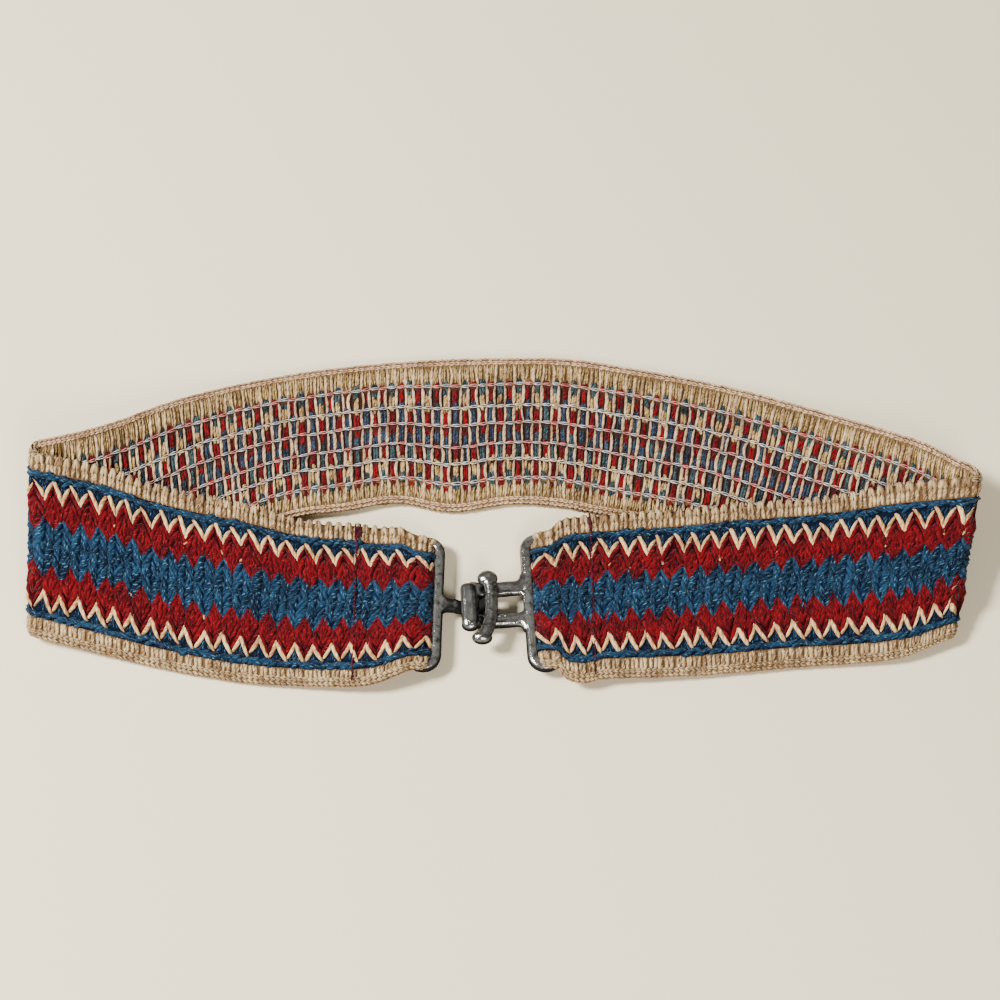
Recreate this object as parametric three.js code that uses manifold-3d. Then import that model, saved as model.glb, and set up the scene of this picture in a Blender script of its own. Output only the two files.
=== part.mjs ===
// Stretch belt: a knitted wool band closed into a loop by a two-piece cast clasp, lying on a surface.
// Millimetres, +Z up, the far side of the loop towards +Y. The surface is z = 0.
import * as THREE from 'three';
import { mergeVertices } from 'three/addons/utils/BufferGeometryUtils.js';
import Module from 'manifold-3d';

// Driving dimensions
const BAND_THICKNESS = 3.4;
const SEAT_GAP = 0.3;
const SECTION_STEP = 6;
const TURN_STEPS = 8;
const BORDER = 0.13;
const ROUNDING = 0.035;

const WIRE = 2.8;
const SLOT_FRAME_LENGTH = 50.8;
const SLOT_FRAME_WIDTH = 11.3;
const SLOT_CORNER = 4.1;
const SLOT_BAR_SPACING = SLOT_FRAME_WIDTH - WIRE;
const FRAME_HEIGHT = BAND_THICKNESS + SEAT_GAP + WIRE / 2;
const HEM_TURN = WIRE / 2 + SEAT_GAP + BAND_THICKNESS / 2;
const HEM_HEIGHT = BAND_THICKNESS / 2;
const OVER_BAR_HEIGHT = FRAME_HEIGHT + HEM_TURN;

// Each half of the clasp is made with its open bar on the Y axis and its other end along +X, and is
// then turned about Z and set down here.
const HOOK_PLACE = { x: -21.5, y: -44.4, turn: THREE.MathUtils.degToRad(-1.4) };
const EYE_PLACE = { x: 10, y: -43.4, turn: THREE.MathUtils.degToRad(183.4) };
const GATHERED_WIDTH = 43;

const EYE_LENGTH = 20.9;
const EYE_PITCH = 13.1;
const EYE_WIRE = 3.8;
const HEAD_REACH = 11.2;
const STEM_CROSSING = 10.6;

// A point over the middle of a half's slot bar, at one side of the gathered band and at a height.
function atBar(place, side, height) {
  const alongX = -SLOT_BAR_SPACING;
  const alongY = (side * GATHERED_WIDTH) / 2;
  return [
    place.x + alongX * Math.cos(place.turn) - alongY * Math.sin(place.turn),
    place.y + alongX * Math.sin(place.turn) + alongY * Math.cos(place.turn),
    height,
  ];
}

function hookBarSection(height) {
  return { near: atBar(HOOK_PLACE, -1, height), far: atBar(HOOK_PLACE, 1, height), curl: 0, swell: 0 };
}

function eyeBarSection(height) {
  return { near: atBar(EYE_PLACE, 1, height), far: atBar(EYE_PLACE, -1, height), curl: 0, swell: 0 };
}

// The band as a strip of straight sections. near and far are the two ends of a section, [x, y, z] on
// the band's middle surface. curl is how far the far border bends to the loop's inner side, and swell
// how far the third next to the near border bows that way.
const HOOK_HEM = [
  { near: [-49, -72.6, HEM_HEIGHT], far: [-49, -16, HEM_HEIGHT], curl: 0, swell: 0 },
  { near: [-34.6, -69.4, HEM_HEIGHT], far: [-33.8, -18.6, HEM_HEIGHT], curl: 0, swell: 0 },
  hookBarSection(HEM_HEIGHT),
];
const FRONT_LEFT = [
  hookBarSection(OVER_BAR_HEIGHT),
  { near: [-35.2, -70.6, 7.9], far: [-34.6, -17, 8.1], curl: 0.5, swell: 0 },
  { near: [-42, -74, 6.4], far: [-42, -15, 6.8], curl: 1, swell: 0 },
  { near: [-50, -75, 5.6], far: [-50, -14, 6.6], curl: 1.5, swell: 0 },
  { near: [-67, -75, 3], far: [-69, -14.4, 9.8], curl: 2.4, swell: 0 },
  { near: [-85, -73.4, 2], far: [-87, -10.7, 13], curl: 2.6, swell: 0 },
  { near: [-102.3, -69.6, 2], far: [-104, -7.9, 15], curl: 2.6, swell: 0 },
  { near: [-119.5, -65.4, 2.4], far: [-121.5, -4.8, 18], curl: 2.4, swell: 0 },
  { near: [-137, -60.8, 3.6], far: [-138, -1.3, 23], curl: 1.6, swell: 0 },
  { near: [-158.6, -55.6, 5.2], far: [-157.6, 0.4, 29.5], curl: 0.2, swell: 0 },
];
const BACK = [
  { near: [-158.6, -49.5, 1.9], far: [-157.6, 7.2, 26.6], curl: 0, swell: 0 },
  { near: [-142, -43.6, 1.8], far: [-146, 12.6, 23], curl: 0, swell: 0 },
  { near: [-127, -36.6, 1.8], far: [-134, 20.2, 18], curl: 0, swell: 0.4 },
  { near: [-110, -26.6, 2.4], far: [-118, 31, 12], curl: 0.2, swell: 1 },
  { near: [-92, -17.6, 3.4], far: [-99, 41, 6.5], curl: 0.4, swell: 1.6 },
  { near: [-72, -9.8, 4], far: [-77, 48.7, 3.2], curl: 0.6, swell: 2 },
  { near: [-55, -6.8, 3.4], far: [-58, 54, 2.2], curl: 0.6, swell: 2.2 },
  { near: [-36, -3.2, 2.6], far: [-38, 57, 1.9], curl: 0.6, swell: 2.4 },
  { near: [-17, -6.4, 1.8], far: [-18, 58.6, 1.8], curl: 0.6, swell: 2.8 },
  { near: [3, -3.4, 2.2], far: [3, 59.2, 1.8], curl: 0.6, swell: 2.6 },
  { near: [20, -4.2, 2.2], far: [23, 59, 1.8], curl: 0.6, swell: 2.2 },
  { near: [37, -7.8, 2.2], far: [43, 56, 2], curl: 0.6, swell: 1.8 },
  { near: [70, -14.6, 2], far: [81, 46.5, 3.5], curl: 0.4, swell: 1.2 },
  { near: [100, -27, 1.8], far: [116.5, 31.5, 7.2], curl: 0.2, swell: 0.6 },
  { near: [132, -41, 1.8], far: [147, 14.6, 15.4], curl: 0, swell: 0.2 },
  { near: [152.8, -50.6, 1.9], far: [160, 4.6, 19.8], curl: 0, swell: 0 },
];
const FRONT_RIGHT = [
  { near: [152.8, -57.6, 4.6], far: [160, -2.4, 22.6], curl: 0.2, swell: -1 },
  { near: [136.8, -62.6, 3.6], far: [139, -4, 17.6], curl: 1.6, swell: 0 },
  { near: [119.5, -65, 2.4], far: [122, -6, 13.4], curl: 2.4, swell: 0 },
  { near: [102.4, -67.3, 2], far: [104.5, -7.2, 11], curl: 2.4, swell: 0 },
  { near: [85.3, -69, 2], far: [87, -7.4, 9.4], curl: 2, swell: 0 },
  { near: [68, -70.8, 2.6], far: [69.7, -8.4, 8.4], curl: 1.6, swell: 0 },
  { near: [51, -72, 3.6], far: [52.3, -9.4, 7.6], curl: 1.4, swell: 0 },
  { near: [35, -72.6, 5.7], far: [35, -10, 6.6], curl: 1.2, swell: 0 },
  { near: [29.4, -72, 6.6], far: [27, -11.4, 7.2], curl: 1, swell: 0 },
  { near: [24.8, -69.6, 7.9], far: [21.6, -14, 8.1], curl: 0.5, swell: 0 },
  eyeBarSection(OVER_BAR_HEIGHT),
];
const EYE_HEM = [
  eyeBarSection(HEM_HEIGHT),
  { near: [24.8, -68.4, HEM_HEIGHT], far: [22, -17, HEM_HEIGHT], curl: 0, swell: 0 },
  { near: [35, -70.6, HEM_HEIGHT], far: [33, -12.6, HEM_HEIGHT], curl: 0, swell: 0 },
];

const vector = ([x, y, z]) => new THREE.Vector3(x, y, z);

// The value on a smooth curve from b to c, with a and d before and after them.
function smooth(a, b, c, d, t) {
  const rise = (c - a) / 2;
  const fall = (d - b) / 2;
  return b + rise * t + (3 * (c - b) - 2 * rise - fall) * t ** 2 + (rise + fall - 2 * (c - b)) * t ** 3;
}

function smoothVector(a, b, c, d, t) {
  return new THREE.Vector3(
    smooth(a.x, b.x, c.x, d.x, t),
    smooth(a.y, b.y, c.y, d.y, t),
    smooth(a.z, b.z, c.z, d.z, t),
  );
}

// Sections along one run of the table, close enough together for a smooth band.
function along(run) {
  const rows = run.map((row) => ({ ...row, near: vector(row.near), far: vector(row.far) }));
  const sections = [rows[0]];
  for (let i = 0; i + 1 < rows.length; i += 1) {
    const four = [rows[Math.max(i - 1, 0)], rows[i], rows[i + 1], rows[Math.min(i + 2, rows.length - 1)]];
    const steps = Math.max(1, Math.round(rows[i].near.distanceTo(rows[i + 1].near) / SECTION_STEP));
    for (let step = 1; step <= steps; step += 1) {
      const t = step / steps;
      sections.push({
        near: smoothVector(...four.map((row) => row.near), t),
        far: smoothVector(...four.map((row) => row.far), t),
        curl: smooth(...four.map((row) => row.curl), t),
        swell: smooth(...four.map((row) => row.swell), t),
      });
    }
  }
  return sections;
}

// A half turn between two runs, which bulges along X by reach.
function turn(before, after, reach) {
  const bulge = new THREE.Vector3(reach, 0, 0);
  const round = (from, to, angle) => {
    const middle = from.clone().add(to).multiplyScalar(0.5);
    return from.clone().sub(middle).multiplyScalar(Math.cos(angle)).add(middle)
      .addScaledVector(bulge, Math.sin(angle));
  };
  const sections = [];
  for (let step = 1; step < TURN_STEPS; step += 1) {
    const t = step / TURN_STEPS;
    sections.push({
      near: round(before.near, after.near, Math.PI * t),
      far: round(before.far, after.far, Math.PI * t),
      curl: THREE.MathUtils.lerp(before.curl, after.curl, t),
      swell: THREE.MathUtils.lerp(before.swell, after.swell, t),
    });
  }
  return sections;
}

// A closed solid through rings of points. An open one is capped at both ends.
function loft(rings, isClosed) {
  const sides = rings[0].length;
  const positions = rings.flat().flatMap((point) => point.toArray());
  const faces = [];
  const spans = isClosed ? rings.length : rings.length - 1;
  for (let i = 0; i < spans; i += 1) {
    const here = i * sides;
    const next = ((i + 1) % rings.length) * sides;
    for (let j = 0; j < sides; j += 1) {
      const k = (j + 1) % sides;
      faces.push(here + j, here + k, next + k, here + j, next + k, next + j);
    }
  }
  if (!isClosed) {
    for (const [ring, isLast] of [[rings[0], false], [rings.at(-1), true]]) {
      const centre = positions.length / 3;
      const first = isLast ? (rings.length - 1) * sides : 0;
      const middle = ring.reduce((sum, point) => sum.add(point), new THREE.Vector3()).divideScalar(sides);
      positions.push(...middle.toArray());
      for (let j = 0; j < sides; j += 1) {
        const k = (j + 1) % sides;
        faces.push(centre, first + (isLast ? j : k), first + (isLast ? k : j));
      }
    }
  }
  const geometry = new THREE.BufferGeometry();
  geometry.setAttribute('position', new THREE.Float32BufferAttribute(positions, 3));
  geometry.setIndex(faces);
  return geometry;
}

// The band's own cross-section at one place: half its thickness at a share of the way from near to far.
const BAND_PROFILE = [
  { share: 0, half: 0.45 },
  { share: ROUNDING, half: 1 },
  { share: 0.18, half: 1 },
  { share: 0.34, half: 1 },
  { share: 0.5, half: 1 },
  { share: 1 - BORDER, half: 1 },
  { share: 1 - BORDER / 2, half: 1 },
  { share: 1 - ROUNDING, half: 1 },
  { share: 1, half: 0.45 },
];
const SWELL_CENTRE = 0.26;
const SWELL_REACH = 0.26;

function bandRing(section, direction) {
  const across = section.far.clone().sub(section.near);
  const outward = across.clone().cross(direction).normalize();
  const at = ({ share, half }, side) => {
    const border = Math.max(0, (share - (1 - BORDER)) / BORDER);
    const bow = Math.max(0, 1 - Math.abs(share - SWELL_CENTRE) / SWELL_REACH);
    const inward = section.curl * border + section.swell * bow;
    return section.near.clone().addScaledVector(across, share)
      .addScaledVector(outward, (side * half * BAND_THICKNESS) / 2 - inward);
  };
  const outer = BAND_PROFILE.map((point) => at(point, 1));
  const inner = BAND_PROFILE.map((point) => at(point, -1)).reverse();
  return [...outer, ...inner];
}

function knitBand() {
  const frontLeft = along(FRONT_LEFT);
  const back = along(BACK);
  const frontRight = along(FRONT_RIGHT);
  const hookHem = along(HOOK_HEM);
  const eyeHem = along(EYE_HEM);
  const FOLD_REACH = 3;
  const sections = [
    ...hookHem,
    ...turn(hookHem.at(-1), frontLeft[0], HEM_TURN),
    ...frontLeft,
    ...turn(frontLeft.at(-1), back[0], -FOLD_REACH),
    ...back,
    ...turn(back.at(-1), frontRight[0], FOLD_REACH),
    ...frontRight,
    ...turn(frontRight.at(-1), eyeHem[0], -HEM_TURN),
    ...eyeHem,
  ];
  const middle = (section) => section.near.clone().add(section.far).multiplyScalar(0.5);
  const rings = sections.map((section, i) => {
    const before = middle(sections[Math.max(i - 1, 0)]);
    const after = middle(sections[Math.min(i + 1, sections.length - 1)]);
    return bandRing(section, after.sub(before));
  });
  return loft(rings, false);
}

// A rod through points with an oval section, wide across its path in plan and high along Z.
const ROD_SIDES = 14;

function rod(stations, isClosed = false) {
  const points = stations.map(({ at }) => vector(at));
  const rings = stations.map(({ wide, high }, i) => {
    const last = points.length - 1;
    const before = points[isClosed ? (i + last) % points.length : Math.max(i - 1, 0)];
    const after = points[isClosed ? (i + 1) % points.length : Math.min(i + 1, last)];
    const path = after.clone().sub(before).normalize();
    const side = new THREE.Vector3(0, 0, 1).cross(path).normalize();
    const up = path.clone().cross(side);
    return Array.from({ length: ROD_SIDES }, (_, j) => {
      const angle = (2 * Math.PI * j) / ROD_SIDES;
      return points[i].clone()
        .addScaledVector(side, (Math.cos(angle) * wide) / 2)
        .addScaledVector(up, (Math.sin(angle) * high) / 2);
    });
  });
  return loft(rings, isClosed);
}

// The outline of a rectangle with rounded corners, in plan, walked anticlockwise. Its first side is x = 0.
function roundedLoop(otherX, length, corner, steps) {
  const centreX = otherX / 2;
  const reach = Math.abs(otherX) / 2 - corner;
  const quarters = [[1, 1], [-1, 1], [-1, -1], [1, -1]];
  return quarters.flatMap(([sideX, sideY], quarter) => Array.from({ length: steps + 1 }, (_, i) => {
    const angle = (Math.PI / 2) * (quarter + i / steps);
    return [
      centreX + sideX * reach + corner * Math.cos(angle),
      sideY * (length / 2 - corner) + corner * Math.sin(angle),
    ];
  }));
}

// The rectangular frame whose other bar the band's end wraps.
function slotFrame() {
  const outline = roundedLoop(-SLOT_BAR_SPACING, SLOT_FRAME_LENGTH - WIRE, SLOT_CORNER, 5);
  return rod(outline.map(([x, y]) => ({ at: [x, y, FRAME_HEIGHT], wide: WIRE, high: WIRE })), true);
}

// The stem flares where it meets the frame, dips under the eye's end and rises as a neck to the head.
function hookStem() {
  return rod([
    { at: [-0.6, 0, FRAME_HEIGHT], wide: 12, high: 2.2 },
    { at: [0.9, 0, FRAME_HEIGHT], wide: 10.4, high: 2.6 },
    { at: [2, 0, FRAME_HEIGHT], wide: 7, high: 3 },
    { at: [3.4, 0, 4.8], wide: 5, high: 3.2 },
    { at: [6, 0, 4], wide: 4.4, high: 3.2 },
    { at: [STEM_CROSSING - 2.2, 0, 2.9], wide: 4.2, high: 2.8 },
    { at: [STEM_CROSSING, 0, 2.5], wide: 4, high: 2.5 },
    { at: [STEM_CROSSING + 1.8, 0, 2.7], wide: 3.6, high: 2.5 },
    { at: [STEM_CROSSING + 3.8, 0, 4], wide: 3, high: 2.8 },
    { at: [STEM_CROSSING + 5.6, 0, 6.3], wide: 3, high: 2.8 },
    { at: [STEM_CROSSING + 7.2, 0, 8.8], wide: 3.2, high: 3 },
  ]);
}

// The crescent lies across the eye. Its two ends curl back towards the frame and swell to round knobs.
function crescentHead() {
  const HEAD_X = STEM_CROSSING + 7.6;
  const HEAD_Y = -2.3;
  const HEAD_HEIGHT = 8.7;
  const HEAD_LEAN = 0.6;
  const HEAD_SAG = 3;
  const SIDE_STEPS = 7;
  const shapes = Array.from({ length: 2 * SIDE_STEPS + 1 }, (_, i) => {
    const share = i / SIDE_STEPS - 1;
    const knob = Math.max(0, (Math.abs(share) - 0.55) / 0.45);
    const x = HEAD_X - HEAD_SAG * share ** 2 + HEAD_LEAN * share;
    return { at: [x, HEAD_Y + share * HEAD_REACH, HEAD_HEIGHT], wide: 3.4 + 2 * knob, high: 3.4 + 0.6 * knob };
  });
  const knobs = [shapes[0], shapes.at(-1)].map(({ at, wide, high }) => {
    const knob = new THREE.SphereGeometry(wide / 2, ROD_SIDES, ROD_SIDES / 2);
    return knob.scale(1, 1, high / wide).translate(...at);
  });
  return [rod(shapes), ...knobs];
}

// Two arms from the frame, which dip under the head and end in a stout bar over the hook's stem.
function eyeLoop() {
  const EYE_CORNER = 4;
  const EYE_DIP = 0.8;
  const END_RISE = 1;
  const outline = roundedLoop(EYE_LENGTH, EYE_PITCH, EYE_CORNER, 5);
  return rod(outline.flatMap(([x, y], i) => {
    const next = outline[(i + 1) % outline.length];
    const between = [(x + next[0]) / 2, (y + next[1]) / 2];
    return [[x, y], between].map(([px, py]) => {
      const rise = THREE.MathUtils.smoothstep(px, EYE_LENGTH - 4.6, EYE_LENGTH - 0.6);
      const dip = THREE.MathUtils.smoothstep(px, 0, EYE_LENGTH / 2) * (1 - rise);
      return {
        at: [px, py, FRAME_HEIGHT - EYE_DIP * dip + END_RISE * rise],
        wide: EYE_WIRE + rise,
        high: 3.4 + 0.2 * rise,
      };
    });
  }), true);
}

// The flared feet of the two arms on the frame's bar.
function eyeFeet() {
  return [-1, 1].map((side) => {
    const y = (side * EYE_PITCH) / 2;
    return rod([
      { at: [-0.6, y + side * 0.8, FRAME_HEIGHT], wide: 8.4, high: 2.2 },
      { at: [0.9, y + side * 0.6, FRAME_HEIGHT], wide: 7.4, high: 2.6 },
      { at: [2.2, y + side * 0.2, FRAME_HEIGHT], wide: 5, high: 3 },
      { at: [4, y, FRAME_HEIGHT - 0.2], wide: 3.6, high: 3.2 },
    ]);
  });
}

const wasm = await Module();
wasm.setup();

// Fuses overlapping closed shapes into one solid, as the cast metal is.
function fuse(geometries) {
  const solids = geometries.map((geometry) => {
    const bare = geometry.clone();
    bare.deleteAttribute('normal');
    bare.deleteAttribute('uv');
    const merged = mergeVertices(bare, 1e-4);
    return new wasm.Manifold(new wasm.Mesh({
      numProp: 3,
      vertProperties: new Float32Array(merged.attributes.position.array),
      triVerts: new Uint32Array(merged.index.array),
    }));
  });
  const whole = solids.reduce((sum, solid) => sum.add(solid));
  const { vertProperties, triVerts } = whole.getMesh();
  const geometry = new THREE.BufferGeometry();
  geometry.setAttribute('position', new THREE.BufferAttribute(vertProperties, 3));
  geometry.setIndex(new THREE.BufferAttribute(triVerts, 1));
  return geometry;
}

function piece(name, geometry, material) {
  const mesh = new THREE.Mesh(geometry, new THREE.MeshStandardMaterial(material));
  mesh.name = name;
  return mesh;
}

function claspHalf(name, shapes, place) {
  const half = piece(name, fuse(shapes), NICKEL);
  half.position.set(place.x, place.y, 0);
  half.rotation.z = place.turn;
  return half;
}

const WOOL = { color: 0x2f5f8f, roughness: 0.95, metalness: 0 };
const NICKEL = { color: 0x9a9896, roughness: 0.3, metalness: 1 };

const belt = new THREE.Group();
belt.add(
  piece('knit_band', knitBand(), WOOL),
  claspHalf('hook_half', [slotFrame(), hookStem(), ...crescentHead()], HOOK_PLACE),
  claspHalf('eye_half', [slotFrame(), eyeLoop(), ...eyeFeet()], EYE_PLACE),
);

// The origin is the middle of the underside of the belt's box.
const box = new THREE.Box3().setFromObject(belt);
const centre = box.getCenter(new THREE.Vector3());
belt.position.set(-centre.x, -centre.y, -box.min.z);

export default belt;
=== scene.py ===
from collections import namedtuple

import bmesh
import bpy
import numpy as np
from mathutils import Matrix, Vector


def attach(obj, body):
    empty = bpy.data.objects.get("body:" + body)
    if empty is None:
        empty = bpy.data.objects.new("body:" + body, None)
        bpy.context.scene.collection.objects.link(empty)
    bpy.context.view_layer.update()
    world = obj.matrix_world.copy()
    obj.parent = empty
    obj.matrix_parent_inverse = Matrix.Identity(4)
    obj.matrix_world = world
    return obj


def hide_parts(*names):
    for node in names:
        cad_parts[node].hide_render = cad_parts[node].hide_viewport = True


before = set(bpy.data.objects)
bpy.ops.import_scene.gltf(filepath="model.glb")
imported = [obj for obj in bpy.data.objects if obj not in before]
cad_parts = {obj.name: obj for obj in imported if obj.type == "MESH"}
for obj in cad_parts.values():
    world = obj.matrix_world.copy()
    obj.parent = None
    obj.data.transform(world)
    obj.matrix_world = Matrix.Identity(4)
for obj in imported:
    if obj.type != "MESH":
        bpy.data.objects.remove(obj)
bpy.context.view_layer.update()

rng = np.random.default_rng(41)

# The ground of the band is the dense inner layer of the knit, which holds the stitches of both faces. It is
# one wool strip, turned under and sewn at both ends, and its loop lies folded flat. Its sections are the rows
# below, in millimetres: near end, far end, curl of the far border and swell beside the near border.
MM = 0.001
BAND_WIDTH = 63.5
GROUND_THICKNESS = 2.0
BELT_SHIFT = np.array([-0.5401, 7.9512, 0.0])
HOOK_BAR_NEAR, HOOK_BAR_FAR = (-30.52, -71.4, 8.2), (-29.47, -18.6, 8.7)
EYE_BAR_NEAR, EYE_BAR_FAR = (19.76, -70.2, 7.6), (17.21, -16.8, 8.7)
HEM_Z = 1.9
HEM_REACH, FOLD_REACH = 5.4, 3.0
TURN_STEPS = 24

HOOK_HEM = [
    (-49, -69.6, HEM_Z, -49, -16, HEM_Z, 0, 0),
    (-34.6, -67, HEM_Z, -33.8, -17.6, HEM_Z, 0, 0),
    (-30.52, -66.8, HEM_Z, *HOOK_BAR_FAR[:2], HEM_Z, 0, 0),
]
FRONT_LEFT = [
    (*HOOK_BAR_NEAR, *HOOK_BAR_FAR, 0, 0),
    (-35.2, -73.4, 7.8, -34.6, -15.4, 8.1, 0.5, 0),
    (-42, -75.6, 6.4, -42, -15, 6.8, 1, 0),
    (-50, -76, 4.8, -50, -14, 6.6, 1.5, 0),
    (-67, -75, 3, -69, -14.4, 9.8, 2.4, 0),
    (-85, -73.4, 2, -87, -10.7, 13, 2.6, 0),
    (-102.3, -70.6, 2, -104, -7.9, 15, 2.6, 0),
    (-119.5, -66.9, 2.2, -121.5, -4.6, 18, 2.4, 0),
    (-137, -62.6, 3, -138, -0.2, 23, 1.6, 0),
    (-157.6, -57.6, 4.6, -158.6, 3, 29.2, 0.2, 0),
]
BACK = [
    (-157.6, -51.5, 1.9, -158.6, 9.6, 26.4, 0, 0),
    (-142, -44.6, 1.9, -146, 15, 23, 0, 0),
    (-127, -36.6, 1.9, -134, 22.4, 18, 0, 0.4),
    (-110, -26.6, 2.4, -118, 33.2, 12, 0.2, 1),
    (-92, -17.6, 3.4, -99, 42.4, 6.5, 0.4, 1.6),
    (-72, -9.8, 4, -77, 49.4, 3.2, 0.6, 2),
    (-55, -6.8, 3.4, -58, 53.2, 2.2, 0.6, 2.2),
    (-36, -3.2, 2.6, -38, 55.6, 1.9, 0.6, 2.4),
    (-17, -6.4, 1.9, -18, 57, 1.9, 0.6, 2.8),
    (3, -3.4, 2.2, 3, 57.5, 1.9, 0.6, 2.6),
    (20, -4.2, 2.2, 23, 57.2, 1.9, 0.6, 2.2),
    (37, -7.8, 2.2, 43, 54, 2, 0.6, 1.8),
    (70, -14.6, 2, 81, 44.8, 3.5, 0.4, 1.2),
    (100, -27, 1.9, 116.5, 31.5, 7.2, 0.2, 0.6),
    (132, -41, 1.9, 147, 15.4, 15.6, 0, 0.2),
    (150.8, -50.6, 1.9, 159.8, 4.2, 20.6, 0, 0),
]
FRONT_RIGHT = [
    (151.8, -58.4, 4.2, 164.6, -3.2, 22.8, 0.2, -1),
    (136.8, -64.4, 3.2, 139, -4, 17.6, 1.6, 0),
    (119.5, -66.2, 2.2, 122, -6, 13.4, 2.4, 0),
    (102.4, -67.3, 2, 104.5, -7.2, 11, 2.4, 0),
    (85.3, -69, 2, 87, -7.4, 9.4, 2, 0),
    (68, -70.8, 2.6, 69.7, -8.4, 8.4, 1.6, 0),
    (51, -72, 3.6, 52.3, -9.4, 7.6, 1.4, 0),
    (35, -73.2, 4.8, 35, -10, 6.6, 1.2, 0),
    (29.4, -74.8, 5.2, 27, -10.8, 7.2, 1, 0),
    (23.0, -74.2, 6.3, 21.0, -12.4, 8.1, 0.5, 0),
    (*EYE_BAR_NEAR, *EYE_BAR_FAR, 0, 0),
]
EYE_HEM = [
    (19.76, -66.4, HEM_Z, *EYE_BAR_FAR[:2], HEM_Z, 0, 0),
    (24.8, -67, HEM_Z, 22, -15.4, HEM_Z, 0, 0),
    (35, -68.4, HEM_Z, 33, -12.6, HEM_Z, 0, 0),
]


def along(run):
    """Sections on a smooth curve through the rows of one run, about a millimetre apart."""
    rows = np.array(run, float)
    last = len(rows) - 1
    sections = [rows[0]]
    for i in range(last):
        a, b, c, d = rows[max(i - 1, 0)], rows[i], rows[i + 1], rows[min(i + 2, last)]
        rise, fall = (c - a) / 2, (d - b) / 2
        steps = max(1, round(float(np.linalg.norm(c[:3] - b[:3]))))
        for t in np.arange(1, steps + 1) / steps:
            square = (3 * (c - b) - 2 * rise - fall) * t**2
            sections.append(b + rise * t + square + (rise + fall - 2 * (c - b)) * t**3)
    return np.array(sections)


def turn(before, after, reach):
    """A half turn between two runs, which bulges along X by reach."""
    bulge = np.array([reach, 0, 0, reach, 0, 0, 0, 0])
    middle, half = (before + after) / 2, (before - after) / 2
    angles = np.linspace(0, np.pi, TURN_STEPS + 1)[1:-1]
    return np.array([middle + half * np.cos(a) + bulge * np.sin(a) for a in angles])


front_left, back, front_right = along(FRONT_LEFT), along(BACK), along(FRONT_RIGHT)
hook_hem, eye_hem = along(HOOK_HEM), along(EYE_HEM)
RUNS = [
    hook_hem,
    turn(hook_hem[-1], front_left[0], HEM_REACH),
    front_left,
    turn(front_left[-1], back[0], -FOLD_REACH),
    back,
    turn(back[-1], front_right[0], FOLD_REACH),
    front_right,
    turn(front_right[-1], eye_hem[0], -HEM_REACH),
    eye_hem,
]
sections = np.concatenate(RUNS)
middles = (sections[:, :3] + sections[:, 3:6]) / 2
distance = np.concatenate([[0], np.cumsum(np.linalg.norm(np.diff(middles, axis=0), axis=1))])
run_ends = distance[np.cumsum([len(run) for run in RUNS]) - 1]
BAND_LENGTH = float(distance[-1])
LEFT_FRONT = (run_ends[0], run_ends[2])
BACK_HALF = (run_ends[2], run_ends[5])
RIGHT_FRONT = (run_ends[5], run_ends[7])

CURL_FROM = 0.91
FULL_CURL, FULL_CURL_ANGLE = 2.6, 2.1
CURL_STRETCH = 0.045
SWELL_CENTRE, SWELL_REACH = 0.26, 0.26


def along_front(run, x):
    """How far along the band a front half passes x."""
    on_run = (distance >= run[0]) & (distance <= run[1])
    return float(np.interp(-x, -middles[on_run, 0], distance[on_run]))


def unit(vectors):
    """Vectors brought to a length of one."""
    return vectors / np.linalg.norm(vectors, axis=-1)[..., None]


def read_at(s, rows):
    """Rows for places s along the band, read between those of a table of sections."""
    return np.stack([np.interp(s, distance, column) for column in rows.T], -1)


def on_sheet(s, across):
    """Points on the band's middle surface, s millimetres along it and at a share of its width."""
    step = 0.5
    row = read_at(s, sections)
    near, span = row[:, :3], row[:, 3:6] - row[:, :3]
    width = np.linalg.norm(span, axis=1)
    outward = unit(np.cross(span, read_at(s + step, middles) - read_at(s - step, middles)))
    curl = row[:, 6] / FULL_CURL
    rim = width * (1 - CURL_FROM)
    share = np.clip((across - CURL_FROM) / (1 - CURL_FROM), 0, 1.2)
    angle = share * FULL_CURL_ANGLE * curl
    reach = np.minimum(across, CURL_FROM) * width * (1 + CURL_STRETCH * curl)
    reach = reach + np.where(share > 0, share * rim * np.sinc(angle / np.pi), 0)
    drop = share * rim * (angle / 2) * np.sinc(angle / 2 / np.pi) ** 2
    bow = np.clip(1 - np.abs(across - SWELL_CENTRE) / SWELL_REACH, 0, 1)
    drop = drop + row[:, 7] * np.sin(bow * np.pi / 2) ** 2
    return near + span / width[:, None] * reach[:, None] - outward * drop[:, None]


def on_band(s, across, height):
    """Points of the belt's own frame in metres. height is how far they stand off the middle surface."""
    step, share = 0.4, 0.01
    to_far = on_sheet(s, across + share) - on_sheet(s, across - share)
    onward = on_sheet(s + step, across) - on_sheet(s - step, across)
    normal = unit(np.cross(to_far, onward))
    return (on_sheet(s, across) + normal * height[:, None] + BELT_SHIFT) * MM


def new_object(name, data):
    """An object of a mesh, light or camera, put in the scene."""
    made = bpy.data.objects.new(name, data)
    bpy.context.scene.collection.objects.link(made)
    return made


def object_of(name, bm):
    """An object of a finished bmesh, put in the scene."""
    mesh = bpy.data.meshes.new(name)
    bm.to_mesh(mesh)
    bm.free()
    return new_object(name, mesh)


def new_material(name):
    """A new material, its node tree and its Principled shader."""
    material = bpy.data.materials.new(name)
    material.use_nodes = True
    tree = material.node_tree
    return material, tree, next(n for n in tree.nodes if n.type == "BSDF_PRINCIPLED")


def feed(tree, socket, value):
    """Sets an input, or links it to the output that is its value."""
    if isinstance(value, bpy.types.NodeSocket):
        tree.links.new(value, socket)
    else:
        socket.default_value = value


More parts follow.
